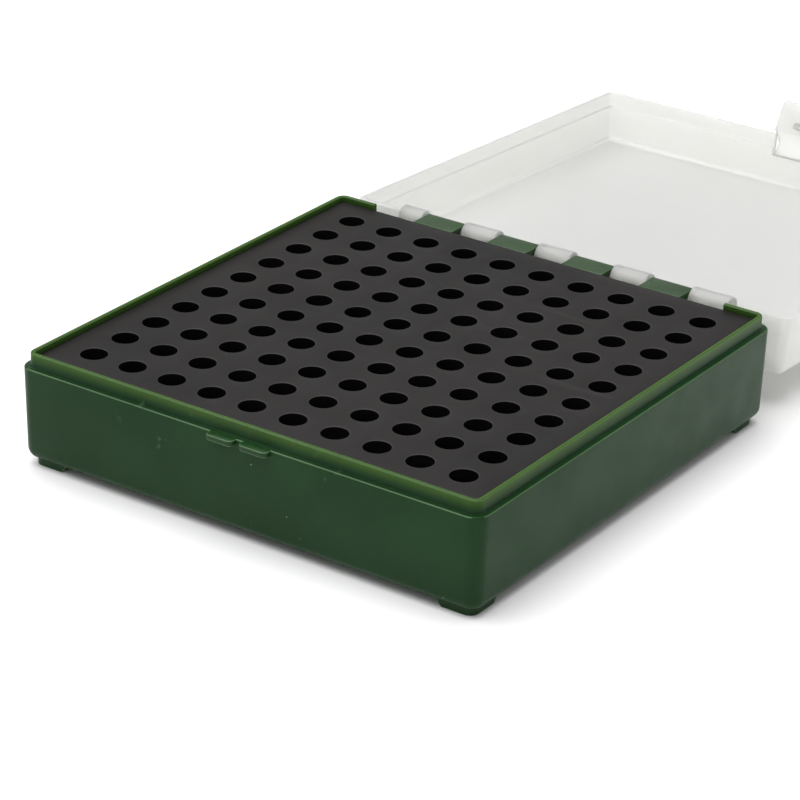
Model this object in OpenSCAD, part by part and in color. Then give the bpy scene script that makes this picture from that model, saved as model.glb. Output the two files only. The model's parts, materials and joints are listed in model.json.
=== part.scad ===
// Hundred-place storage box: a green tray with a black rack of round wells and
// a frosted lid on a snap hinge, drawn standing on a table with the lid laid open.

/* [Tray] */
// width of the square tray across its ledge
box_w = 133; // [120:0.5:150]
// height of the ledge above the table
ledge_z = 26.2; // [20:0.1:40]
// height of the thin rim above the ledge
rim_h = 3.5; // [3:0.1:3.9]
// thickness of the rim
rim_t = 1.2; // [1:0.1:1.4]
// width of the ledge that the lid lands on
ledge_w = 1.6; // [1.5:0.05:1.8]
// outer radius of the upright corners
corner_r = 4; // [3.6:0.1:6]
// how far the walls lean in at the bottom
draft = 0.5; // [0:0.1:0.5]
// radius along the bottom edges
bottom_r = 3; // [1:0.1:3.4]
// thickness of the tray floor
floor_t = 1.8; // [1.2:0.1:3]

/* [Feet] */
// height of the four corner feet
foot_h = 1.75; // [1:0.05:3]
// length of a foot's side where it meets the tray
foot_w = 10.4; // [8:0.1:16]
// gap from a foot to the tray's outer wall
foot_inset = 2.4; // [1.5:0.1:5]
// radius of a foot's outer corner
foot_r = 2.6; // [1:0.1:5]

/* [Rack] */
// wells in each row, and rows
wells = 10; // [4:1:10]
// centre distance of neighbouring wells
pitch = 11.875; // [11:0.025:12.2]
// diameter of a well
well_d = 6.8; // [5:0.1:8]
// thickness of the drilled deck
deck_t = 1.2; // [1:0.1:2]
// height of the deck above the ledge
deck_rise = 2.1; // [1.5:0.1:2.5]

/* [Lid] */
// outside depth of the lid
lid_h = 15.8; // [12:0.1:30]
// height of the thin band that slips over the rim
band_h = 4.3; // [4:0.1:6]
// wall thickness of the band
band_t = 1.25; // [1:0.05:1.28]
// wall thickness above the band
lid_wall = 1.85; // [1.5:0.05:2]
// thickness of the lid's top
top_t = 1.4; // [1:0.1:2.5]
// radius along the lid's top edges
top_r = 1.8; // [1.4:0.1:2]
// outer radius of the lid's upright corners
lid_r = 2.6; // [2.6:0.1:4]

/* [Hinge] */
// distance of the hinge line behind the tray's wall
axis_out = 3.8; // [3.4:0.05:4.2]
// distance of the hinge line below the ledge
axis_drop = 0.3; // [0.2:0.1:0.6]
// diameter of the rod that runs through the hinge
rod_d = 2.4; // [2:0.1:2.6]
// outer radius of the lid's knuckles
knuckle_r = 3; // [2.6:0.1:3]
// outer radius of the tray's hooks
hook_r = 2.25; // [2.1:0.05:2.5]
// how far past flat the open lid leans back before the hinge stops it
lean = 3.1; // [1:0.1:4]

/* [Latch] */
// width of the tongue at its slits
tongue_w = 17; // [14:0.5:22]
// width of the tongue at its tip
tip_w = 18.5; // [12:0.5:24]
// length of the slits above the lid's rim
slit_h = 6.4; // [6:0.1:9]
// reach of the tongue below the lid's rim
tongue_drop = 9; // [6:0.1:12]
// thickness of the tongue
tongue_t = 1.3; // [1:0.1:2]

/* [Hidden] */
$fn = 64;

tray_green = [0.13, 0.24, 0.14];
rack_black = [0.16, 0.15, 0.15];
frosted = [0.88, 0.88, 0.86, 0.6];

fit_gap = 0.15;                  // between the rack and the tray's wall
run_gap = 0.06;                  // between the rod and a hook
seat_gap = 0.1;                  // between the closed lid and the ledge
side_gap = 0.35;                 // beside each hook, knuckle and the tongue
stand_gap = 0.05;                // under the ribs, which stand on the floor
edge_r = 0.4;                    // round on the ledge's edge
lid_fillet = 2;                  // inside the lid, round its flat top

half_w = box_w / 2;
inner_half = half_w - ledge_w - rim_t;
fillet_r = min(bottom_r, corner_r - draft);
floor_z = foot_h + floor_t;
rim_z = ledge_z + rim_h;
deck_z = ledge_z + deck_rise;

rack_half = inner_half - fit_gap;
rib_w = pitch - well_d;
rib_split_z = (floor_z + deck_z) / 2;
first_well = -(wells - 1) / 2 * pitch;

axis_y = half_w + axis_out;
axis_z = ledge_z - axis_drop;
lid_z = ledge_z + seat_gap;
lid_top = lid_z + lid_h;

// Knuckles and hooks take turns along the hinge. Each span is in well spacings from the middle.
knuckle_spans = [[-4.08, -3.44], [-2.4, -1.49], [-0.45, 0.45], [1.49, 2.4], [3.44, 4.42]];
hook_spans = [[-3.44, -2.4], [-1.49, -0.45], [0.45, 1.49], [2.4, 3.44]];
hinge_half = 4.5 * pitch;
notch_top = deck_z + 0.5;

keeper_out = 2.1;
keeper_t = 1.35;
keeper_z = ledge_z - 0.05 - keeper_t;    // underside of the tabs
keeper_r = 1.4;
keeper_spans = [[0.09, 0.77], [-0.71, -0.06]];
tongue_y = half_w + keeper_out + 0.25;   // inner face of the tongue
lip_out = 0.8;                           // how far the tongue's lip turns out
wing_w = tongue_w + 5.4;                 // the tongue is widest just below the lid's mouth
ridge_w = 10;                            // across the middle, under both tabs
slit_z = lid_z + slit_h;
tip_z = lid_z - tongue_drop;

// The origin is on the table at the middle of the opened box.
front_y = -(half_w + keeper_out);
lip_y = tongue_y + tongue_t + lip_out;
back_y = axis_y + (axis_y + lip_y) * cos(lean) + (axis_z - tip_z) * sin(lean);
mid_y = (front_y + back_y) / 2;

// Places everything on the opened box's origin.
module on_table() {
    translate([0, -mid_y, 0]) children();
}

// Swings a piece drawn on the closed lid to where it lies open.
module opened() {
    on_table()
        translate([0, axis_y, axis_z])
            rotate([-180 - lean, 0, 0])
                translate([0, -axis_y, -axis_z]) children();
}

// Sweeps a wall section round the square; its x is measured out from the corner's centre.
module swept_wall(radius) {
    centre = half_w - radius;
    for (turn = [0:90:270])
        rotate([0, 0, turn]) translate([centre, centre, 0]) {
            rotate_extrude(angle = 90) children();
            rotate([90, 0, 0]) linear_extrude(2 * centre) children();
        }
}

// A bar along X with the section given in Y and Z.
module along_x(from, to) {
    translate([from, 0, 0]) rotate([90, 0, 90]) linear_extrude(to - from) children();
}

// A quarter disc in the quadrant that the two signs name.
module quarter(radius, side, up) {
    intersection() {
        circle(radius);
        translate([side < 0 ? -radius : 0, up < 0 ? -radius : 0]) square(radius);
    }
}

module tray_section() {
    rim_out = corner_r - ledge_w;
    rim_in = rim_out - rim_t;
    foot_x = corner_r - draft;
    polygon([[0, foot_h], [foot_x - fillet_r, foot_h], [foot_x, foot_h + fillet_r],
             [corner_r, ledge_z - edge_r], [corner_r - edge_r, ledge_z],
             [rim_out, ledge_z], [rim_out, rim_z - rim_t / 2],
             [rim_in, rim_z - rim_t / 2], [rim_in, floor_z], [0, floor_z]]);
    difference() {
        translate([foot_x - fillet_r, foot_h + fillet_r]) quarter(fillet_r, 1, -1);
        translate([0, floor_z]) square([rim_in, fillet_r]);
    }
    translate([corner_r - edge_r, ledge_z - edge_r]) quarter(edge_r, 1, 1);
    translate([rim_out - rim_t / 2, rim_z - rim_t / 2]) circle(rim_t / 2);
}

module base_tray() {
    floor_half = half_w - corner_r;
    color(tray_green) on_table() difference() {
        union() {
            swept_wall(corner_r) tray_section();
            translate([-floor_half, -floor_half, foot_h]) cube([2 * floor_half, 2 * floor_half, floor_t]);
        }
        translate([-hinge_half, inner_half - 1, ledge_z]) cube([2 * hinge_half, 5, rim_h + 1]);
    }
}

// One foot: upright outside with a rounded corner, its two inner sides leaning in.
module foot() {
    lean_in = 1.7;
    outline = [[0, foot_h], [lean_in, 0], [foot_w, 0], [foot_w, foot_h]];
    intersection() {
        rotate([90, 0, 90]) linear_extrude(foot_w) polygon(outline);
        translate([0, foot_w, 0]) rotate([90, 0, 0]) linear_extrude(foot_w) polygon(outline);
        linear_extrude(foot_h) difference() {
            square(foot_w);
            translate([foot_w - foot_r, foot_w - foot_r]) difference() {
                square(foot_r + 1);
                circle(foot_r);
            }
        }
    }
}

module corner_feet() {
    place = half_w - foot_inset - foot_w;
    color(tray_green) on_table() for (turn = [0:90:270])
        rotate([0, 0, turn]) translate([place, place, 0]) foot();
}

// Two round-ended tabs that the tongue snaps under.
module keeper_tabs() {
    color(tray_green) on_table() for (span = keeper_spans) {
        from = span[0] * pitch;
        to = span[1] * pitch;
        translate([0, 0, keeper_z]) linear_extrude(keeper_t) difference() {
            union() {
                translate([from + keeper_r, -half_w - keeper_out])
                    square([to - from - 2 * keeper_r, keeper_out + 0.2]);
                translate([from, -half_w - keeper_out + keeper_r])
                    square([to - from, keeper_out - keeper_r + 0.2]);
                for (x = [from + keeper_r, to - keeper_r])
                    translate([x, -half_w - keeper_out + keeper_r]) circle(keeper_r);
            }
            translate([from - 1, -half_w]) square([to - from + 2, 1]);
        }
    }
}

// Section of a hook: a flat arm off the wall, bent down over the rod.
module hook_section() {
    difference() {
        union() {
            translate([axis_y, axis_z]) circle(hook_r);
            translate([inner_half, ledge_z]) square([axis_y - inner_half, axis_z + hook_r - ledge_z]);
        }
        translate([axis_y, axis_z]) circle(rod_d / 2 + run_gap);
        translate([axis_y, axis_z]) polygon([[0, 0], [-4, -0.2], [-4, -4], [0.6, -4]]);
    }
}

module hinge_hooks() {
    color(tray_green) on_table() for (span = hook_spans)
        along_x(span[0] * pitch + side_gap / 2, span[1] * pitch - side_gap / 2) hook_section();
}

module rack_deck() {
    color(rack_black) on_table() difference() {
        translate([-rack_half, -rack_half, deck_z - deck_t]) cube([2 * rack_half, 2 * rack_half, deck_t]);
        for (row = [0:wells - 1], column = [0:wells - 1])
            translate([first_well + column * pitch, first_well + row * pitch, deck_z - deck_t - 1])
                cylinder(d = well_d, h = deck_t + 2, $fn = 48);
    }
}

// One course of ribs along X: one beside each row of wells, the outer two out to the rack's edge.
module rib_course(low, high) {
    outer_w = rack_half + first_well - well_d / 2;
    for (side = [-1, 1])
        translate([-rack_half, side * (rack_half - outer_w / 2) - outer_w / 2, low])
            cube([2 * rack_half, outer_w, high - low]);
    for (gap = [1:wells - 1])
        translate([-rack_half, first_well + (gap - 0.5) * pitch - rib_w / 2, low])
            cube([2 * rack_half, rib_w, high - low]);
}

module rack_cross_ribs() {
    color(rack_black) on_table() rib_course(rib_split_z, deck_z - deck_t);
}

module rack_long_ribs() {
    color(rack_black) on_table() rotate([0, 0, 90]) rib_course(floor_z + stand_gap, rib_split_z);
}

// Wall of the closed lid: a thin band below, a thicker wall above a small step.
module lid_section() {
    top_x = lid_r - draft;
    step_x = lid_r - 0.25;
    band_top = lid_z + band_h;
    polygon([[lid_r - band_t, lid_z], [lid_r, lid_z], [lid_r, band_top],
             [step_x, band_top + 0.25], [top_x, lid_top - top_r], [top_x - top_r, lid_top],
             [0, lid_top], [0, lid_top - top_t], [top_x - lid_wall, lid_top - top_t],
             [step_x - lid_wall, band_top], [lid_r - band_t, band_top - 0.4]]);
    translate([top_x - top_r, lid_top - top_r]) quarter(top_r, 1, 1);
}

// Round between the lid's walls and its flat top, seen from inside; mitred at the corners.
module lid_fillets() {
    face_y = half_w - draft - lid_wall;
    under_z = lid_top - top_t;
    slope = atan((draft - 0.25) / (lid_h - top_t - band_h));
    arc_y = face_y + lid_fillet * (tan(slope) - 1 / cos(slope));
    arc_z = under_z - lid_fillet;
    end = [arc_y + lid_fillet * cos(slope), arc_z + lid_fillet * sin(slope)];
    for (turn = [0:90:270])
        rotate([0, 0, turn]) along_x(-face_y - 0.2, face_y + 0.2) difference() {
            polygon([[arc_y, arc_z], end, end + [0.3 * cos(slope), 0.3 * sin(slope)],
                     [face_y + 0.3, under_z + 0.3], [arc_y, under_z + 0.3]]);
            translate([arc_y, arc_z]) circle(lid_fillet);
        }
}

module lid_shell() {
    top_half = half_w - lid_r;
    color(frosted) opened() difference() {
        union() {
            swept_wall(lid_r) lid_section();
            translate([-top_half, -top_half, lid_top - top_t]) cube([2 * top_half, 2 * top_half, top_t]);
            lid_fillets();
        }
        for (span = hook_spans)
            translate([span[0] * pitch - side_gap / 2, half_w - 5, lid_z - 1])
                cube([(span[1] - span[0]) * pitch + side_gap, 6, notch_top - lid_z + 1]);
        translate([-tongue_w / 2 - side_gap, -half_w - 1, lid_z - 1])
            cube([tongue_w + 2 * side_gap, 6, slit_h + 1]);
    }
}

module lid_knuckles() {
    color(frosted) opened() for (span = knuckle_spans)
        along_x(span[0] * pitch + side_gap / 2, span[1] * pitch - side_gap / 2) difference() {
            union() {
                translate([axis_y, axis_z]) circle(knuckle_r);
                translate([half_w, lid_z + 0.2]) square([axis_out, axis_z + knuckle_r - lid_z - 0.2]);
            }
            translate([axis_y, axis_z]) circle(d = rod_d);
        }
}

module hinge_rod() {
    color(frosted) opened() along_x(knuckle_spans[0][0] * pitch + 0.6, knuckle_spans[4][1] * pitch - 0.6)
        translate([axis_y, axis_z]) circle(d = rod_d);
}

// Springy tongue: it bends at its round root at the top of the slits, slopes out past
// the keeper tabs and carries a ridge that snaps under them. Clear of the lid's wall it widens.
module latch_tongue() {
    root_y = half_w - 0.4;
    ridge_z = keeper_z - 0.3;
    root_r = tongue_t / 2;
    section = [[-root_y, slit_z - root_r], [-tongue_y - tongue_t, lid_z + 0.9],
               [-tongue_y - tongue_t, tip_z + 2], [-lip_y, tip_z], [-tongue_y - 0.4, tip_z],
               [-tongue_y, tip_z + 2], [-tongue_y, lid_z + 0.3], [-root_y + tongue_t, slit_z - root_r]];
    ridge = [[-tongue_y - 0.4, ridge_z - 1.6], [-tongue_y, ridge_z - 1.6],
             [-tongue_y + 0.95, ridge_z - 0.6], [-tongue_y + 0.95, ridge_z], [-tongue_y - 0.4, ridge_z]];
    clear_z = lid_z + 0.3 + (slit_h - root_r - 0.3) * 2 / (tongue_y - root_y + tongue_t);
    color(frosted) opened() along_x(-ridge_w / 2, ridge_w / 2) polygon(ridge);
    color(frosted) opened() intersection() {
        along_x(-wing_w / 2, wing_w / 2) {
            polygon(section);
            translate([-root_y + root_r, slit_z - root_r]) circle(root_r);
        }
        translate([0, -half_w + 10, 0]) rotate([90, 0, 0]) linear_extrude(30)
            polygon([[-tongue_w / 2, slit_z + 1], [tongue_w / 2, slit_z + 1], [tongue_w / 2, clear_z],
                     [wing_w / 2, lid_z], [tip_w / 2, tip_z], [tip_w / 2, tip_z - 1],
                     [-tip_w / 2, tip_z - 1], [-tip_w / 2, tip_z], [-wing_w / 2, lid_z],
                     [-tongue_w / 2, clear_z]]);
    }
}

base_tray();
corner_feet();
keeper_tabs();
hinge_hooks();
rack_deck();
rack_cross_ribs();
rack_long_ribs();
lid_shell();
lid_knuckles();
hinge_rod();
latch_tongue();
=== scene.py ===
import json
from math import cos, pi, radians, sin
import bmesh
import bpy
from mathutils import Matrix, Vector


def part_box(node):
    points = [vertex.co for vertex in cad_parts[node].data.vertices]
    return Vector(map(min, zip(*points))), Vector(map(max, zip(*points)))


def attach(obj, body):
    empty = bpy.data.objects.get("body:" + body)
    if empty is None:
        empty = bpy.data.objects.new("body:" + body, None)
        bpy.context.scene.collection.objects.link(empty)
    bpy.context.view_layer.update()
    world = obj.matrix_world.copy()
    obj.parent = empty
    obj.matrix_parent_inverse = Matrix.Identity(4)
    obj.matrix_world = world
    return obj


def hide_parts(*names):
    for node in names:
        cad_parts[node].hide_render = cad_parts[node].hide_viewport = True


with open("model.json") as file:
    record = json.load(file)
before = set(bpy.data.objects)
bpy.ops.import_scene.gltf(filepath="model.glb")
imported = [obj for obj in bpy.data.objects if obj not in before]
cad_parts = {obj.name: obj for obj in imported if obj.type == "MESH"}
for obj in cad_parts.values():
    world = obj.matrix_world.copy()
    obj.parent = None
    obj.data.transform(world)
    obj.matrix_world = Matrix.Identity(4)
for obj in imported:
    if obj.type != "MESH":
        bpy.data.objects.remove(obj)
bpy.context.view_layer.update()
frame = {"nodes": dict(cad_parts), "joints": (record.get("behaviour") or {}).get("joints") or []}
mm = 0.001

# ---- Tray ------------------------------------------------------------------------------------
# One thin-walled moulding in dark green polypropylene: floor, four walls leaning out a little,
# a ledge for the lid and a thin rim that stands inside it. Light comes through the thin rim.
tray_low, tray_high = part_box("base_tray")
tray_y = (tray_low.y + tray_high.y) / 2
half_w = (tray_high.x - tray_low.x) / 2
foot_h = tray_low.z
rim_z = tray_high.z
pitch = 11.875 * mm
ledge_z = rim_z - 3.5 * mm
ledge_w = 1.6 * mm
ledge_round = 0.45 * mm
rim_t = 1.2 * mm
rim_round = 0.35 * mm
rim_foot_r = 0.25 * mm
corner_r = 4 * mm
corner_steps = 8
draft = 0.5 * mm
bottom_r = 3 * mm
floor_z = foot_h + 1.8 * mm
floor_r = 1 * mm
cut_over = 0.5 * mm
tiny = 0.001 * mm
weld = 0.002 * mm
crisp_angle = radians(40)


def arc(x, z, radius, start, end, steps):
    """Points of an arc in a section, its angles in degrees."""
    turns = [radians(start + (end - start) * i / steps) for i in range(steps + 1)]
    return [(x + radius * cos(t), z + radius * sin(t)) for t in turns]


def sweep_square(bm, section, radius):
    """Sweeps a wall section round the tray's square. Its x counts out from the corner's centre,
    and what lies inside that centre meets at plain mitred corners."""
    reach = half_w - radius
    verts = [bm.verts.new((reach + out, -reach, up)) for out, up in section]
    chain = [bm.edges.new(pair) for pair in zip(verts, verts[1:])]
    for side in range(4):
        turn = Matrix.Rotation(side * pi / 2, 3, "Z")
        made = bmesh.ops.extrude_edge_only(bm, edges=chain)["geom"]
        ends = {g for g in made if isinstance(g, bmesh.types.BMVert)}
        chain = [g for g in made if isinstance(g, bmesh.types.BMEdge) and ends.issuperset(g.verts)]
        bmesh.ops.translate(bm, verts=list(ends), vec=turn @ Vector((0, 2 * reach, 0)))
        spun = bmesh.ops.spin(bm, geom=chain + list(ends), cent=turn @ Vector((reach, reach, 0)),
                              axis=(0, 0, 1), angle=pi / 2, steps=corner_steps)["geom_last"]
        chain = [g for g in spun if isinstance(g, bmesh.types.BMEdge)]
    for out, up in section:
        for v in bm.verts:
            in_corner = max(abs(v.co.x), abs(v.co.y)) < reach + tiny
            if out < 0 and in_corner and abs(v.co.z - up) < tiny:
                v.co.x = reach + out if v.co.x > 0 else -reach - out
                v.co.y = reach + out if v.co.y > 0 else -reach - out
    bmesh.ops.remove_doubles(bm, verts=bm.verts, dist=weld)
    bmesh.ops.holes_fill(bm, edges=[e for e in bm.edges if e.is_boundary], sides=4)


def cut_notch(bm, low, high):
    """Cuts a notch through a wall that runs along X, and closes the notch's own walls."""
    for axis, places in ((0, (low.x, high.x)), (2, (low.z, high.z))):
        normal = Vector([float(i == axis) for i in range(3)])
        for place in places:
            bmesh.ops.bisect_plane(bm, geom=bm.verts[:] + bm.edges[:] + bm.faces[:],
                                   plane_co=normal * place, plane_no=normal, dist=tiny)
    inside = [f for f in bm.faces
              if all(low[i] < f.calc_center_median()[i] < high[i] for i in range(3))]
    bmesh.ops.delete(bm, geom=inside, context="FACES")
    rims = [e for e in bm.edges if e.is_boundary]
    ys = [v.co.y for e in rims for v in e.verts]
    middle = (min(ys) + max(ys)) / 2
    across = [e for e in rims if (e.verts[0].co.y - middle) * (e.verts[1].co.y - middle) < 0]
    bmesh.ops.bridge_loops(bm, edges=[e for e in rims if e not in across])


def as_object(name, bm):
    """Makes the finished piece, smooth apart from its crisp edges."""
    bmesh.ops.recalc_face_normals(bm, faces=bm.faces)
    mesh = bpy.data.meshes.new(name)
    bm.to_mesh(mesh)
    bm.free()
    mesh.shade_smooth()
    mesh.set_sharp_from_angle(angle=crisp_angle)
    piece = bpy.data.objects.new(name, mesh)
    bpy.context.collection.objects.link(piece)
    return piece


rim_out = corner_r - ledge_w
rim_in = rim_out - rim_t
wall_foot = corner_r - draft
tray_section = (
    [(0, foot_h)]
    + arc(wall_foot - bottom_r, foot_h + bottom_r, bottom_r, -90, 0, 6)
    + arc(corner_r - ledge_round, ledge_z - ledge_round, ledge_round, 0, 90, 4)
    + arc(rim_out + rim_foot_r, ledge_z + rim_foot_r, rim_foot_r, 270, 180, 2)
    + arc(rim_out - rim_round, rim_z - rim_round, rim_round, 0, 90, 3)
    + arc(rim_in + rim_round, rim_z - rim_round, rim_round, 90, 180, 3)
    + arc(rim_in - floor_r, floor_z + floor_r, floor_r, 0, -90, 3)
    + [(0, floor_z)])
gap_half = 4.5 * pitch
gap_low = ledge_z + 0.01 * mm
rim_inner = half_w - ledge_w - rim_t

bm = bmesh.new()
sweep_square(bm, tray_section, corner_r)
cut_notch(bm, Vector((-gap_half, rim_inner - cut_over, gap_low)),
          Vector((gap_half, half_w - ledge_w + cut_over, rim_z + cut_over)))
bmesh.ops.translate(bm, verts=bm.verts, vec=(0, tray_y, 0))
tray = as_object("tray", bm)


class Nodes:
    """A material being put together from its nodes."""

    def __init__(self, name):
        self.material = bpy.data.materials.new(name)
        self.material.use_nodes = True
        self.tree = self.material.node_tree
        self.shader = self.tree.nodes["Principled BSDF"]
        self.place = self.add("ShaderNodeTexCoord").outputs["Object"]

    def add(self, kind, **inputs):
        node = self.tree.nodes.new(kind)
        for key, value in inputs.items():
            self.feed(node, key.replace("_", " "), value)
        return node

    def feed(self, node, key, value):
        socket = node.inputs[key]
        if isinstance(value, bpy.types.NodeSocket):
            self.tree.links.new(value, socket)
        else:
            socket.default_value = value

    def noise(self, scale, detail=4, stretch=(1, 1, 1), turn=(0, 0, 0)):
        place = self.add("ShaderNodeMapping", Vector=self.place, Scale=stretch, Rotation=turn)
        return self.add("ShaderNodeTexNoise", Vector=place.outputs[0], Scale=scale,
                        Detail=detail).outputs["Fac"]

    def between(self, value, low, high, to_low=0.0, to_high=1.0):
        node = self.add("ShaderNodeMapRange", Value=value)
        node.interpolation_type = "SMOOTHSTEP"
        for key, number in (("From Min", low), ("From Max", high),
                            ("To Min", to_low), ("To Max", to_high)):
            node.inputs[key].default_value = number
        return node.outputs[0]

    def maths(self, operation, a, b):
        node = self.tree.nodes.new("ShaderNodeMath")
        node.operation = operation
        self.feed(node, 0, a)
        self.feed(node, 1, b)
        return node.outputs[0]

    def mix(self, factor, a, b):
        node = self.tree.nodes.new("ShaderNodeMix")
        node.data_type = "RGBA"
        for key, value in ((0, factor), (6, a), (7, b)):
            self.feed(node, key, value)
        return node.outputs[2]

    def specks(self, scale, size, share):
        """Tiny round specks, in a share of the cells of an even scatter."""
        cells = self.add("ShaderNodeTexVoronoi", Vector=self.place, Scale=scale)
        chosen = self.add("ShaderNodeSeparateColor", Color=cells.outputs["Color"]).outputs[0]
        near = self.between(cells.outputs["Distance"], size * 0.6, size, 1, 0)
        return self.maths("MULTIPLY", near, self.between(chosen, share, share + 0.01, 1, 0))

    def height(self):
        return self.add("ShaderNodeSeparateXYZ", Vector=self.place).outputs[2]

    def bump(self, height, distance, strength, before=None):
        node = self.add("ShaderNodeBump", Height=height, Distance=distance, Strength=strength)
        if before:
            self.feed(node, "Normal", before)
        return node.outputs[0]

    def finish(self, **sockets):
        for key, value in sockets.items():
            self.feed(self.shader, key.replace("_", " "), value)
        return self.material


def green_plastic(name, low, high, painted_glow_amount, shine):
    """Green polypropylene with dust and fine scuffs, and a painted yellow glow up the thin rim."""
    painted_glow_green = (0.044, 0.100, 0.011, 1)
    scuff_green = (0.16, 0.24, 0.16, 1)
    dust_grey = (0.50, 0.55, 0.48, 1)
    n = Nodes(name)
    colour = n.mix(n.between(n.noise(35, 5), 0.35, 0.65), low, high)
    # Painted glow: yellower from just above the ledge up to the rim's top, standing in for light
    # through the thin wall.
    painted_rim_glow = n.between(n.height(), ledge_z + 0.6 * mm, rim_z, 0, painted_glow_amount)
    colour = n.mix(painted_rim_glow, colour, painted_glow_green)
    streaks = n.between(n.noise(260, 2, (1, 0.06, 1), (0, 0, 0.5)), 0.67, 0.72)
    scuffs = n.maths("MULTIPLY", streaks, n.between(n.noise(30, 2), 0.52, 0.62))
    colour = n.mix(n.maths("MULTIPLY", scuffs, 0.18), colour, scuff_green)
    dust = n.maths("MULTIPLY", n.specks(300, 0.05, 0.12), 0.7)
    colour = n.mix(dust, colour, dust_grey)
    rough = n.maths("ADD", n.between(n.noise(90, 4), 0.3, 0.7, 0.31, 0.42),
                    n.maths("MULTIPLY", scuffs, 0.2))
    grain = n.bump(n.noise(2600, 2), 0.02 * mm, 0.5)
    waves = n.bump(n.noise(70, 3), 0.12 * mm, 0.35, grain)
    return n.finish(Base_Color=colour, Roughness=rough, Normal=waves, IOR=1.49,
                    Specular_IOR_Level=shine, Subsurface_Weight=0.3,
                    Subsurface_Radius=(0.6, 1.0, 0.15), Subsurface_Scale=2.5 * mm)


# The tray's green carries the full painted glow up its rim.
green = green_plastic("tray green", (0.0056, 0.0315, 0.0066, 1), (0.0084, 0.0390, 0.0094, 1),
                      painted_glow_amount=0.8, shine=0.14)
# A paler, shinier copy of the green for rounded edges: a painted highlight where they catch the
# light.
painted_highlight_green = green_plastic("painted highlight green edge", (0.034, 0.085, 0.028, 1),
                           (0.050, 0.110, 0.040, 1), painted_glow_amount=0.5, shine=0.4)
tray.data.materials.append(green)
tray.data.materials.append(painted_highlight_green)
# The rounded faces along the ledge's outer edge and along the rim's top take that paler green,
# painted as a highlight.
highlight_band = 0.5 * mm
for face in tray.data.polygons:
    x, y, z = face.center
    on_ledge = max(abs(x), abs(y - tray_y)) > half_w - highlight_band and abs(z - ledge_z) < highlight_band
    rounded = 0.2 < face.normal.z < 0.95
    face.material_index = int(rounded and (on_ledge or z > rim_z - highlight_band))
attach(tray, "base")
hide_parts("base_tray")

# ---- Feet ------------------------------------------------------------------------------------
# Four low pads in the tray's green plastic, moulded under its corners. Their inner sides lean
# outwards down to the table, and the outer corner of each is rounded like the tray's own.
foot_w = 10.4 * mm
foot_inset = 2.4 * mm
foot_lean = 1.7 * mm
foot_root = 0.4 * mm
foot_r = 2.6 * mm
foot_round = 0.22 * mm
solid_green = green_plastic("solid green", (0.0070, 0.034, 0.0070, 1), (0.0100, 0.042, 0.0100, 1),
                            painted_glow_amount=0.0, shine=0.2)


def soften(bm, width, sharper=35, segments=2):
    """Rounds every edge that turns by more than sharper degrees. The rounds take the piece's
    second material, where it has one."""
    bmesh.ops.recalc_face_normals(bm, faces=bm.faces)
    edges = [e for e in bm.edges
             if len(e.link_faces) == 2 and e.calc_face_angle() > radians(sharper)]
    rounds = bmesh.ops.bevel(bm, geom=edges, offset=width, segments=segments, profile=0.5,
                             affect="EDGES", material=-1, clamp_overlap=True)["faces"]
    # On the green pieces the second material is a paler green painted on as a highlight.
    for face in rounds:
        face.material_index = 1


foot_mid = half_w - foot_inset - foot_w / 2
foot_deep = foot_h + foot_root
bm = bmesh.new()
bmesh.ops.create_cube(bm, size=1, matrix=Matrix.Translation((foot_mid, foot_mid, foot_deep / 2))
                      @ Matrix.Diagonal((foot_w, foot_w, foot_deep, 1)))
for v in bm.verts:
    if v.co.z < foot_h / 2:
        for axis in (0, 1):
            v.co[axis] += foot_lean if v.co[axis] < foot_mid else 0
uprights = [e for e in bm.edges if abs(e.verts[0].co.z - e.verts[1].co.z) > foot_h]
outer = [e for e in uprights if min(min(v.co.xy) for v in e.verts) > foot_mid]
bmesh.ops.bevel(bm, geom=outer, offset=foot_r, segments=6, profile=0.5, affect="EDGES",
                material=-1)
soften(bm, foot_round)
bmesh.ops.spin(bm, geom=bm.verts[:] + bm.edges[:] + bm.faces[:], cent=(0, 0, 0), axis=(0, 0, 1),
               angle=1.5 * pi, steps=3, use_duplicate=True)
bmesh.ops.translate(bm, verts=bm.verts, vec=(0, tray_y, 0))
feet = as_object("corner_feet_moulded", bm)
feet.data.materials.append(solid_green)
# Its rounded edges take the paler green painted on as a highlight.
feet.data.materials.append(painted_highlight_green)
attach(feet, "base")
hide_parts("corner_feet")

# ---- Keeper tabs -----------------------------------------------------------------------------
# Two small round-cornered tabs in the tray's green plastic, moulded on the front edge of the
# ledge. The lid's tongue snaps under them.
keeper_spans = ((0.09, 0.77), (-0.71, -0.06))
keeper_out = 2.1 * mm
keeper_r = 1.4 * mm
keeper_low = ledge_z - 1.4 * mm
keeper_high = ledge_z - 0.015 * mm
keeper_root = 0.9 * mm
keeper_round = 0.2 * mm
bm = bmesh.new()
for start, end in keeper_spans:
    centre = ((start + end) / 2 * pitch, -half_w + (keeper_root - keeper_out) / 2,
              (keeper_low + keeper_high) / 2)
    size = ((end - start) * pitch, keeper_out + keeper_root, keeper_high - keeper_low, 1)
    bmesh.ops.create_cube(bm, size=1, matrix=Matrix.Translation(centre) @ Matrix.Diagonal(size))
front = [e for e in bm.edges if all(v.co.y < -half_w for v in e.verts)
         and abs(e.verts[0].co.z - e.verts[1].co.z) > mm]
bmesh.ops.bevel(bm, geom=front, offset=keeper_r, segments=6, profile=0.5, affect="EDGES",
                material=-1)
soften(bm, keeper_round)
bmesh.ops.translate(bm, verts=bm.verts, vec=(0, tray_y, 0))
keepers = as_object("keeper_tabs_moulded", bm)
keepers.data.materials.append(solid_green)
# Its rounded edges take the paler green painted on as a highlight.
keepers.data.materials.append(painted_highlight_green)
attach(keepers, "base")
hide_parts("keeper_tabs")

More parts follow.
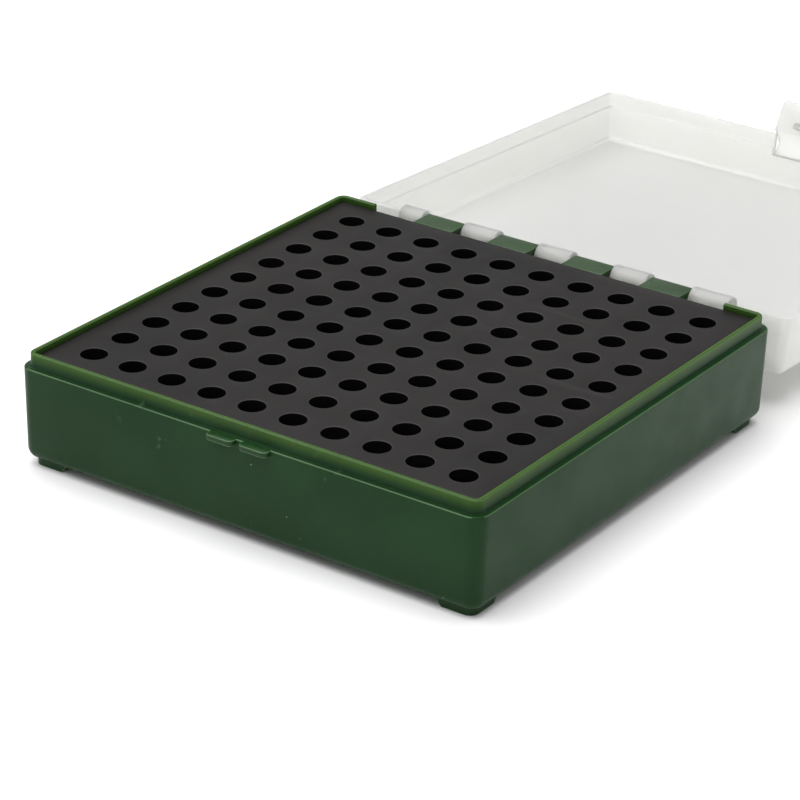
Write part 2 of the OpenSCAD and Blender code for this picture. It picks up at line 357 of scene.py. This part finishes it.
# ---- Hinge hooks -----------------------------------------------------------------------------
# Four flat arms in green plastic, moulded on the tray's back wall, each bent down over the rod
# as an open hook. They take turns with the lid's knuckles along the hinge.
joints = {joint["name"]: joint for joint in frame["joints"]}
axis_y, axis_z = joints["lid_hinge"]["pos_m"][1:]
rod_r = 1.2 * mm
hook_r = 2.25 * mm
hook_hole = rod_r + 0.06 * mm
hook_round = 0.18 * mm
hook_spans = ((0.45, 1.49), (-1.49, -0.45), (2.4, 3.44), (-3.44, -2.4))
hinge_gap = 0.35 * mm
arm_start = tray_y + rim_inner


def along_x(bm, outline, start, end):
    """Adds a bar along X whose outline is given in Y and Z."""
    verts = [bm.verts.new((start, y, z)) for y, z in outline]
    face = bm.faces.new(verts)
    made = bmesh.ops.extrude_face_region(bm, geom=[face])["geom"]
    ends = [g for g in made if isinstance(g, bmesh.types.BMVert)]
    bmesh.ops.translate(bm, verts=ends, vec=(end - start, 0, 0))


hook_outline = (
    [(arm_start, ledge_z), (arm_start, axis_z + hook_r)]
    + arc(axis_y, axis_z, hook_r, 90, -80, 14)
    + arc(axis_y, axis_z, hook_hole, -80, 178, 16)
    + [(axis_y - hook_r, axis_z), (axis_y - hook_r, ledge_z)])
bm = bmesh.new()
for start, end in hook_spans:
    along_x(bm, hook_outline, start * pitch + hinge_gap / 2, end * pitch - hinge_gap / 2)
soften(bm, hook_round)
hooks = as_object("hinge_hooks_moulded", bm)
# A paler, shinier copy of the tray's green, painted lighter where light falls on the hooks' tops.
hook_green_painted_lighter = green_plastic("hook green painted lighter", (0.018, 0.046, 0.015, 1), (0.024, 0.056, 0.019, 1),
                           painted_glow_amount=0.0, shine=0.3)
hooks.data.materials.append(hook_green_painted_lighter)
# Its rounded edges take the paler green painted on as a highlight.
hooks.data.materials.append(painted_highlight_green)
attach(hooks, "base")
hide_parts("hinge_hooks")

# ---- Rack ------------------------------------------------------------------------------------
# One black plastic moulding pushed into the tray: a deck with a hundred round wells, each a thin
# tube that reaches down almost to the tray's floor, and a short skirt round the edge.
rack_low, rack_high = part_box("rack_deck")
deck_z = rack_high.z
rack_half = (rack_high.x - rack_low.x) / 2
well_r = 3.4 * mm
well_round = 0.18 * mm
round_steps = 3
well_sides = 32
tube_wall = 1.1 * mm
tube_gap = 0.3 * mm
tube_h = deck_z - floor_z - tube_gap
deck_t = 1.2 * mm
deck_round = 0.3 * mm
skirt_h = 9 * mm
skirt_t = 1.2 * mm
flat = 0.01 * mm


def ring_down(bm, edges, radius=None, drop=0.0):
    """Extrudes a well's ring of edges, to a new radius or straight down."""
    made = bmesh.ops.extrude_edge_only(bm, edges=edges)["geom"]
    verts = [g for g in made if isinstance(g, bmesh.types.BMVert)]
    for v in verts:
        if radius:
            v.co.xy = v.co.xy.normalized() * radius
        v.co.z -= drop
    ring = [g for g in made
            if isinstance(g, bmesh.types.BMEdge) and set(verts).issuperset(g.verts)]
    return ring, verts


cell = bmesh.new()
bmesh.ops.create_circle(cell, segments=well_sides, radius=well_r + well_round)
top_ring = cell.edges[:]
_, verts = ring_down(cell, top_ring)
for v in verts:
    v.co.xy *= pitch / 2 / max(abs(v.co.x), abs(v.co.y))
ring = top_ring
for step in range(1, round_steps + 1):
    angle = step / round_steps * pi / 2
    ring, verts = ring_down(cell, ring, well_r + well_round * (1 - sin(angle)))
    for v in verts:
        v.co.z = -well_round * (1 - cos(angle))
ring, _ = ring_down(cell, ring, well_r, tube_h - well_round)
ring, _ = ring_down(cell, ring, well_r + tube_wall)
ring, _ = ring_down(cell, ring, well_r + tube_wall, deck_t - tube_h)
ring, verts = ring_down(cell, ring)
for v in verts:
    v.co.xy *= pitch / 2 / max(abs(v.co.x), abs(v.co.y))
cell_mesh = bpy.data.meshes.new("well")
cell.to_mesh(cell_mesh)
cell.free()

bm = bmesh.new()
for row in range(10):
    for column in range(10):
        first = len(bm.verts)
        bm.from_mesh(cell_mesh)
        bm.verts.ensure_lookup_table()
        bmesh.ops.translate(bm, verts=bm.verts[first:],
                            vec=((column - 4.5) * pitch, (row - 4.5) * pitch, 0))
bmesh.ops.remove_doubles(bm, verts=bm.verts, dist=weld)
grid_half = 5 * pitch


def spread(edges, half, drop):
    """Extrudes the deck's outer edges out to a square of the given half width."""
    made = bmesh.ops.extrude_edge_only(bm, edges=edges)["geom"]
    verts = [g for g in made if isinstance(g, bmesh.types.BMVert)]
    for v in verts:
        reach = max(abs(v.co.x), abs(v.co.y))
        for axis in (0, 1):
            if abs(v.co[axis]) > reach - flat:
                v.co[axis] = half if v.co[axis] > 0 else -half
        v.co.z -= drop
    return [g for g in made
            if isinstance(g, bmesh.types.BMEdge) and set(verts).issuperset(g.verts)]


skirt_outside = (
    (rack_half - deck_round, 0), (rack_half - 0.3 * deck_round, 0.3 * deck_round),
    (rack_half, 0.7 * deck_round), (rack_half, skirt_h - deck_round), (rack_half - skirt_t, 0))
skirt_inside = ((rack_half - skirt_t, 0), (rack_half - skirt_t, skirt_h - deck_t))
for level, skirt in ((0, skirt_outside), (-deck_t, skirt_inside)):
    edges = [e for e in bm.edges
             if e.is_boundary and all(abs(v.co.z - level) < flat for v in e.verts)]
    for half, drop in skirt:
        edges = spread(edges, half, drop)
bmesh.ops.remove_doubles(bm, verts=bm.verts, dist=weld)
bmesh.ops.translate(bm, verts=bm.verts, vec=(0, tray_y, deck_z))
rack = as_object("rack", bm)
# Faces down in the wells take the painted shade; the rounded lips just below the deck take the
# painted highlight.
for face in rack.data.polygons:
    x, y, z = face.center
    if z < deck_z - flat and max(abs(x), abs(y - tray_y)) < grid_half:
        face.material_index = 1 if z < deck_z - well_round else 2


def black_plastic(name, dark, pale, shine):
    """Matte warm black plastic with a fine spark texture, a few pale specks and faint rub marks."""
    n = Nodes(name)
    rub_grey = [4 * part for part in pale[:3]] + [1]
    speck_grey = [16 * part for part in pale[:3]] + [1]
    colour = n.mix(n.between(n.noise(28, 4), 0.35, 0.65), dark, pale)
    streaks = n.between(n.noise(180, 2, (0.08, 1, 1), (0, 0, 0.7)), 0.64, 0.72)
    rubs = n.maths("MULTIPLY", streaks, n.between(n.noise(22, 2), 0.52, 0.62))
    colour = n.mix(n.maths("MULTIPLY", rubs, 0.2), colour, rub_grey)
    colour = n.mix(n.maths("MULTIPLY", n.specks(420, 0.06, 0.15), 0.6), colour, speck_grey)
    rough = n.between(n.noise(80, 4), 0.3, 0.7, 0.46, 0.58)
    spark = n.bump(n.noise(3200, 3), 0.03 * mm, 0.6)
    return n.finish(Base_Color=colour, Roughness=rough, Normal=spark, IOR=1.49,
                    Specular_IOR_Level=shine)


rack_black = black_plastic("rack black", (0.0070, 0.0058, 0.0055, 1),
                           (0.0098, 0.0083, 0.0079, 1), shine=0.21)
# Near-black with little shine for the walls down in the wells: painted shade in the deep holes.
painted_well_shade = black_plastic("painted shade in wells", (0.002, 0.002, 0.002, 1), (0.003, 0.003, 0.003, 1),
                           shine=0.05)
# A paler, shinier black for the wells' rounded lips: a painted highlight.
painted_highlight_black = black_plastic("painted highlight black edge", (0.016, 0.014, 0.014, 1),
                           (0.024, 0.021, 0.020, 1), shine=0.4)
for black in (rack_black, painted_well_shade, painted_highlight_black):
    rack.data.materials.append(black)
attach(rack, "base")
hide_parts("rack_deck", "rack_cross_ribs", "rack_long_ribs")

# ---- Lid -------------------------------------------------------------------------------------
# One frosted, see-through moulding in polypropylene. A thin band round its mouth slips over the
# tray's rim, and above a small step the wall is thicker. It is drawn shut on the tray, then swung
# open on the hinge line.
lid_z = ledge_z + 0.1 * mm
lid_top = lid_z + 15.8 * mm
band_top = lid_z + 4.3 * mm
band_t = 1.25 * mm
lid_wall = 1.85 * mm
top_t = 1.4 * mm
top_r = 1.8 * mm
lid_r = 2.6 * mm
lid_fillet = 2 * mm
mouth_r = 0.3 * mm
step_out = 0.25 * mm
step_r = 0.15 * mm
step_foot_r = 0.1 * mm
tongue_w = 17 * mm
slit_h = 6.4 * mm
side_gap = 0.35 * mm
notch_deep = 3 * mm
notch_top = deck_z + 0.5 * mm
open_angle = radians(-joints["lid_hinge"]["range_deg"][0])
swing = Matrix.Rotation(open_angle, 4, Vector(joints["lid_hinge"]["axis"]))
hinge_point = Matrix.Translation((0, axis_y, axis_z))


def lay_open(bm):
    """Swings what is drawn on the shut lid to where the lid lies open."""
    bmesh.ops.transform(bm, matrix=hinge_point @ swing @ hinge_point.inverted(), verts=bm.verts)


side_x = lid_r - step_out
top_x = lid_r - draft
lid_section = (
    [(0, lid_top)]
    + arc(top_x - top_r, lid_top - top_r, top_r, 90, 0, 6)
    + arc(side_x + step_foot_r, band_top + 0.45 * mm, step_foot_r, 180, 270, 2)
    + arc(lid_r - step_r, band_top - 0.05 * mm, step_r, 90, 0, 2)
    + arc(lid_r - mouth_r, lid_z + mouth_r, mouth_r, 0, -90, 3)
    + arc(lid_r - band_t + mouth_r, lid_z + mouth_r, mouth_r, 270, 180, 3)
    + arc(lid_r - band_t - step_foot_r, band_top - 0.5 * mm, step_foot_r, 0, 90, 2)
    + arc(side_x - lid_wall + step_r, band_top - 0.1 * mm, step_r, 270, 180, 2)
    + arc(top_x - lid_wall - lid_fillet, lid_top - top_t - lid_fillet, lid_fillet, 0, 90, 6))

bm = bmesh.new()
sweep_square(bm, lid_section, lid_r)
for start, end in hook_spans:
    cut_notch(bm, Vector((start * pitch - side_gap / 2, half_w - notch_deep, lid_z - cut_over)),
              Vector((end * pitch + side_gap / 2, half_w + cut_over, notch_top)))
cut_notch(bm, Vector((-tongue_w / 2 - side_gap, -half_w - cut_over, lid_z - cut_over)),
          Vector((tongue_w / 2 + side_gap, -half_w + notch_deep, lid_z + slit_h)))
bmesh.ops.translate(bm, verts=bm.verts, vec=(0, tray_y, 0))
lay_open(bm)
lid = as_object("lid", bm)


def frosted_plastic(name, clear, rough_low):
    """Milky polypropylene: light soaks in, the skin is finely frosted with faint flow marks."""
    n = Nodes(name)
    cloud = n.between(n.noise(18, 5), 0.35, 0.65)
    colour = n.mix(cloud, (0.95, 0.95, 0.905, 1), (0.975, 0.975, 0.935, 1))
    flow = n.between(n.noise(60, 4, (0.5, 0.12, 1), (0, 0, 0.3)), 0.45, 0.7)
    colour = n.mix(n.maths("MULTIPLY", flow, 0.12), colour, (0.99, 0.99, 0.975, 1))
    rough = n.between(n.noise(70, 4), 0.3, 0.7, rough_low, rough_low + 0.1)
    grain = n.bump(n.noise(2400, 2), 0.02 * mm, 0.4)
    waves = n.bump(n.noise(55, 3), 0.15 * mm, 0.35, grain)
    return n.finish(Base_Color=colour, Roughness=rough, Normal=waves, IOR=1.49,
                    Transmission_Weight=clear, Subsurface_Weight=0.85,
                    Subsurface_Radius=(1.0, 1.0, 0.95), Subsurface_Scale=8 * mm)


frosted = frosted_plastic("frosted lid", clear=0.45, rough_low=0.34)
lid.data.materials.append(frosted)
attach(lid, "lid")
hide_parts("lid_shell")

# ---- Knuckles and rod ------------------------------------------------------------------------
# Five round-topped knuckles in frosted plastic, moulded on the lid's back wall, with the rod that
# runs through them and lies in the tray's hooks between them. The rod keeps the frame's own mesh.
knuckle_spans = ((-4.08, -3.44), (-2.4, -1.49), (-0.45, 0.45), (1.49, 2.4), (3.44, 4.42))
knuckle_r = 3 * mm
knuckle_low = lid_z + 0.2 * mm
knuckle_round = 0.3 * mm
knuckle_outline = (
    [(tray_y + half_w, knuckle_low), (tray_y + half_w, axis_z + knuckle_r)]
    + arc(axis_y, axis_z, knuckle_r, 90, -191, 26))
bm = bmesh.new()
for start, end in knuckle_spans:
    along_x(bm, knuckle_outline, start * pitch + hinge_gap / 2, end * pitch - hinge_gap / 2)
soften(bm, knuckle_round, segments=3)
lay_open(bm)
knuckles = as_object("lid_knuckles_moulded", bm)
clearer = frosted_plastic("frosted knuckles", clear=0.75, rough_low=0.29)
knuckles.data.materials.append(clearer)
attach(knuckles, "lid")
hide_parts("lid_knuckles")
frame["nodes"]["hinge_rod"].data.materials.clear()
frame["nodes"]["hinge_rod"].data.materials.append(clearer)

# ---- Tongue ----------------------------------------------------------------------------------
# The springy latch at the lid's front, in the same frosted plastic and cut free by two slits. It
# slopes out past the tray's keeper tabs, widens once clear of the lid's wall, and carries a ridge
# that snaps under the tabs.
root_y = half_w - 0.4 * mm
root_round = 0.35 * mm
tongue_t = 1.3 * mm
tongue_in = half_w + 2.35 * mm
tongue_out = tongue_in + tongue_t
tongue_round = 0.3 * mm
tip_z = lid_z - 9 * mm
tip_w = 18.5 * mm
lip_z = tip_z + 2 * mm
lip_out = 0.8 * mm
lip_in = 0.4 * mm
wing_w = tongue_w + 5.4 * mm
ridge_z = ledge_z - 1.7 * mm
ridge_w = 10 * mm
ridge_h = 1.6 * mm
ridge_in = 0.95 * mm
ridge_root = 0.4 * mm
slit_z = lid_z + slit_h
clear_z = lid_z + 3 * mm
tongue_outline = (
    [(-tongue_out, lid_z + 0.9 * mm), (-tongue_out, lip_z), (-tongue_out - lip_out, tip_z),
     (-tongue_in - lip_in, tip_z), (-tongue_in, lip_z), (-tongue_in, lid_z + 0.3 * mm)]
    + arc(-root_y + tongue_t - root_round, slit_z - root_round, root_round, 0, 90, 4)
    + arc(-root_y + root_round, slit_z - root_round, root_round, 90, 180, 4))
bm = bmesh.new()
along_x(bm, [(y + tray_y, z) for y, z in tongue_outline], -tongue_w / 2, tongue_w / 2)
for level in (clear_z, lid_z):
    bmesh.ops.bisect_plane(bm, geom=bm.verts[:] + bm.edges[:] + bm.faces[:], dist=tiny,
                           plane_co=(0, 0, level), plane_no=(0, 0, 1))
bmesh.ops.recalc_face_normals(bm, faces=bm.faces)
for v in bm.verts:
    side = 1 if v.co.x > 0 else -1
    if v.co.z < lid_z + tiny:
        v.co.x = side * (wing_w + (tip_w - wing_w) * (lid_z - v.co.z) / (lid_z - tip_z)) / 2
    elif v.co.z < clear_z:
        v.co.x = side * (wing_w + (tongue_w - wing_w) * (v.co.z - lid_z) / (clear_z - lid_z)) / 2
soften(bm, tongue_round, sharper=20)
ridge_outline = [(-tongue_in - ridge_root, ridge_z), (-tongue_in - ridge_root, ridge_z - ridge_h),
                 (-tongue_in, ridge_z - ridge_h), (-tongue_in + ridge_in, ridge_z - 0.6 * mm),
                 (-tongue_in + ridge_in, ridge_z)]
along_x(bm, [(y + tray_y, z) for y, z in ridge_outline], -ridge_w / 2, ridge_w / 2)
lay_open(bm)
tongue = as_object("tongue", bm)
tongue.data.materials.append(frosted)
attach(tongue, "latch")
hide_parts("latch_tongue")

# ---- Studio ----------------------------------------------------------------------------------
# A plain pale paper floor, under one very wide, soft light from overhead and a weak light from
# all round.
floor_size = 6
sky_strength = 0.52
softbox_angle = radians(75)
softbox_energy = 3.2
softbox_turn = (radians(2), radians(-12), 0)
bm = bmesh.new()
bmesh.ops.create_grid(bm, x_segments=1, y_segments=1, size=floor_size)
floor = as_object("floor", bm)
paper = Nodes("studio floor")
paper_white = paper.mix(paper.between(paper.noise(3, 3), 0.3, 0.7),
                        (0.90, 0.90, 0.90, 1), (0.92, 0.92, 0.92, 1))
floor.data.materials.append(paper.finish(
    Base_Color=paper_white, Roughness=0.9, Specular_IOR_Level=0.0))

world = bpy.data.worlds.new("soft light")
world.use_nodes = True
sky = world.node_tree.nodes["Background"]
sky.inputs["Color"].default_value = (1, 1, 1, 1)
sky.inputs["Strength"].default_value = sky_strength
bpy.context.scene.world = world
softbox = bpy.data.lights.new("softbox", "SUN")
softbox.angle = softbox_angle
softbox.energy = softbox_energy
softbox_holder = bpy.data.objects.new("softbox", softbox)
softbox_holder.rotation_euler = softbox_turn
bpy.context.collection.objects.link(softbox_holder)
bpy.context.scene.view_settings.view_transform = "Standard"

# ---- Camera ----------------------------------------------------------------------------------
# A long lens well back from the box, looking down on the tray's front right corner and rolled a
# little to one side.
azimuth = radians(34.0)
elevation = radians(25.3)
roll = radians(1.6)
distance = 0.7828
lens = 150.1
sensor = 36
clip_start = 0.05
aim = Vector((1.65 * pitch, tray_y - 2.5 * pitch, deck_z))
back = Vector((sin(azimuth) * cos(elevation), -cos(azimuth) * cos(elevation), sin(elevation)))
camera = bpy.data.objects.new("camera", bpy.data.cameras.new("camera"))
camera.data.lens = lens
camera.data.sensor_width = sensor
camera.data.clip_start = clip_start
camera.location = aim + back * distance
facing = (-back).to_track_quat("-Z", "Y").to_matrix()
camera.rotation_euler = (facing @ Matrix.Rotation(roll, 3, "Z")).to_euler()
bpy.context.collection.objects.link(camera)
bpy.context.scene.camera = camera
